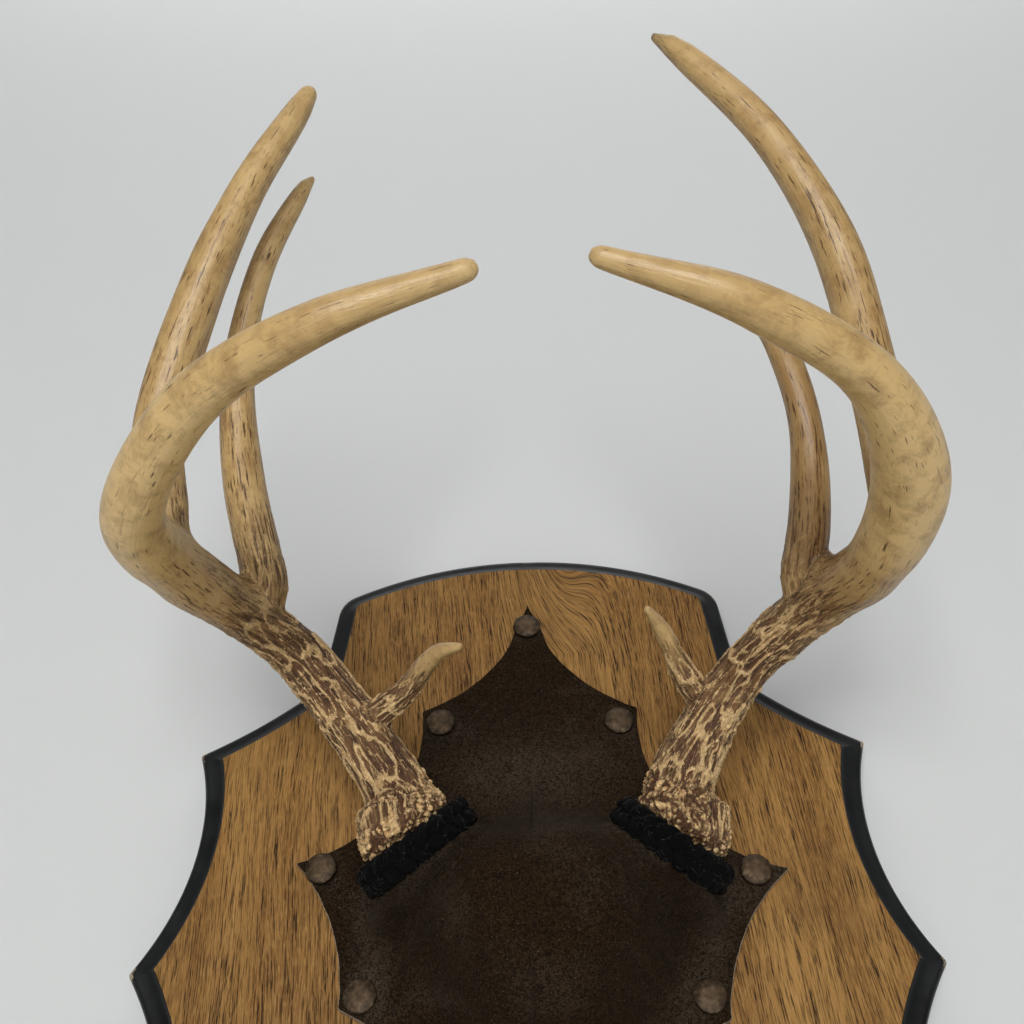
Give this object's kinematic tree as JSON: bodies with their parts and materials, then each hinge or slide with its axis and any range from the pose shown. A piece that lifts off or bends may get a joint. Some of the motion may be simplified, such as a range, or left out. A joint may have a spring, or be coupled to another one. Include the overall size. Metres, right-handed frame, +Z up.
{
  "type": "antler wall hanging",
  "caption": "Wall plaque with a pair of deer antlers that rise from a nailed suede skull cover, a braided cord round the foot of each.",
  "frame": {"origin": "centre of the plaque's flat back, which lies on the wall", "axes": "+Z up the wall, +Y into the wall, +X to the viewer's right"},
  "size_m": [0.319, 0.2845, 0.4073],
  "materials": {
    "oak": "satin golden-brown oak with dark open grain, and a satin black routed edge worn at the corners",
    "suede": "dark brown suede with a brushed, mottled nap and a raw cut edge",
    "antler": "natural antler: tan and smooth on the tines, dark brown and ridged on the beams, pale and pearled on the burrs",
    "cord": "black plaited cord with a fuzzy surface",
    "bronze": "hammered antique bronze, worn bright on the high spots"
  },
  "bodies": {
    "root": {"plaque": "oak", "suede_cover": "suede", "antler_left": "antler", "antler_right": "antler", "braid_left": "cord", "braid_right": "cord", "nail_top": "bronze", "nail_upper_left": "bronze", "nail_upper_right": "bronze", "nail_ear_left": "bronze", "nail_ear_right": "bronze", "nail_lower_left": "bronze", "nail_lower_right": "bronze", "nail_bottom": "bronze"}
  },
  "joints": []
}
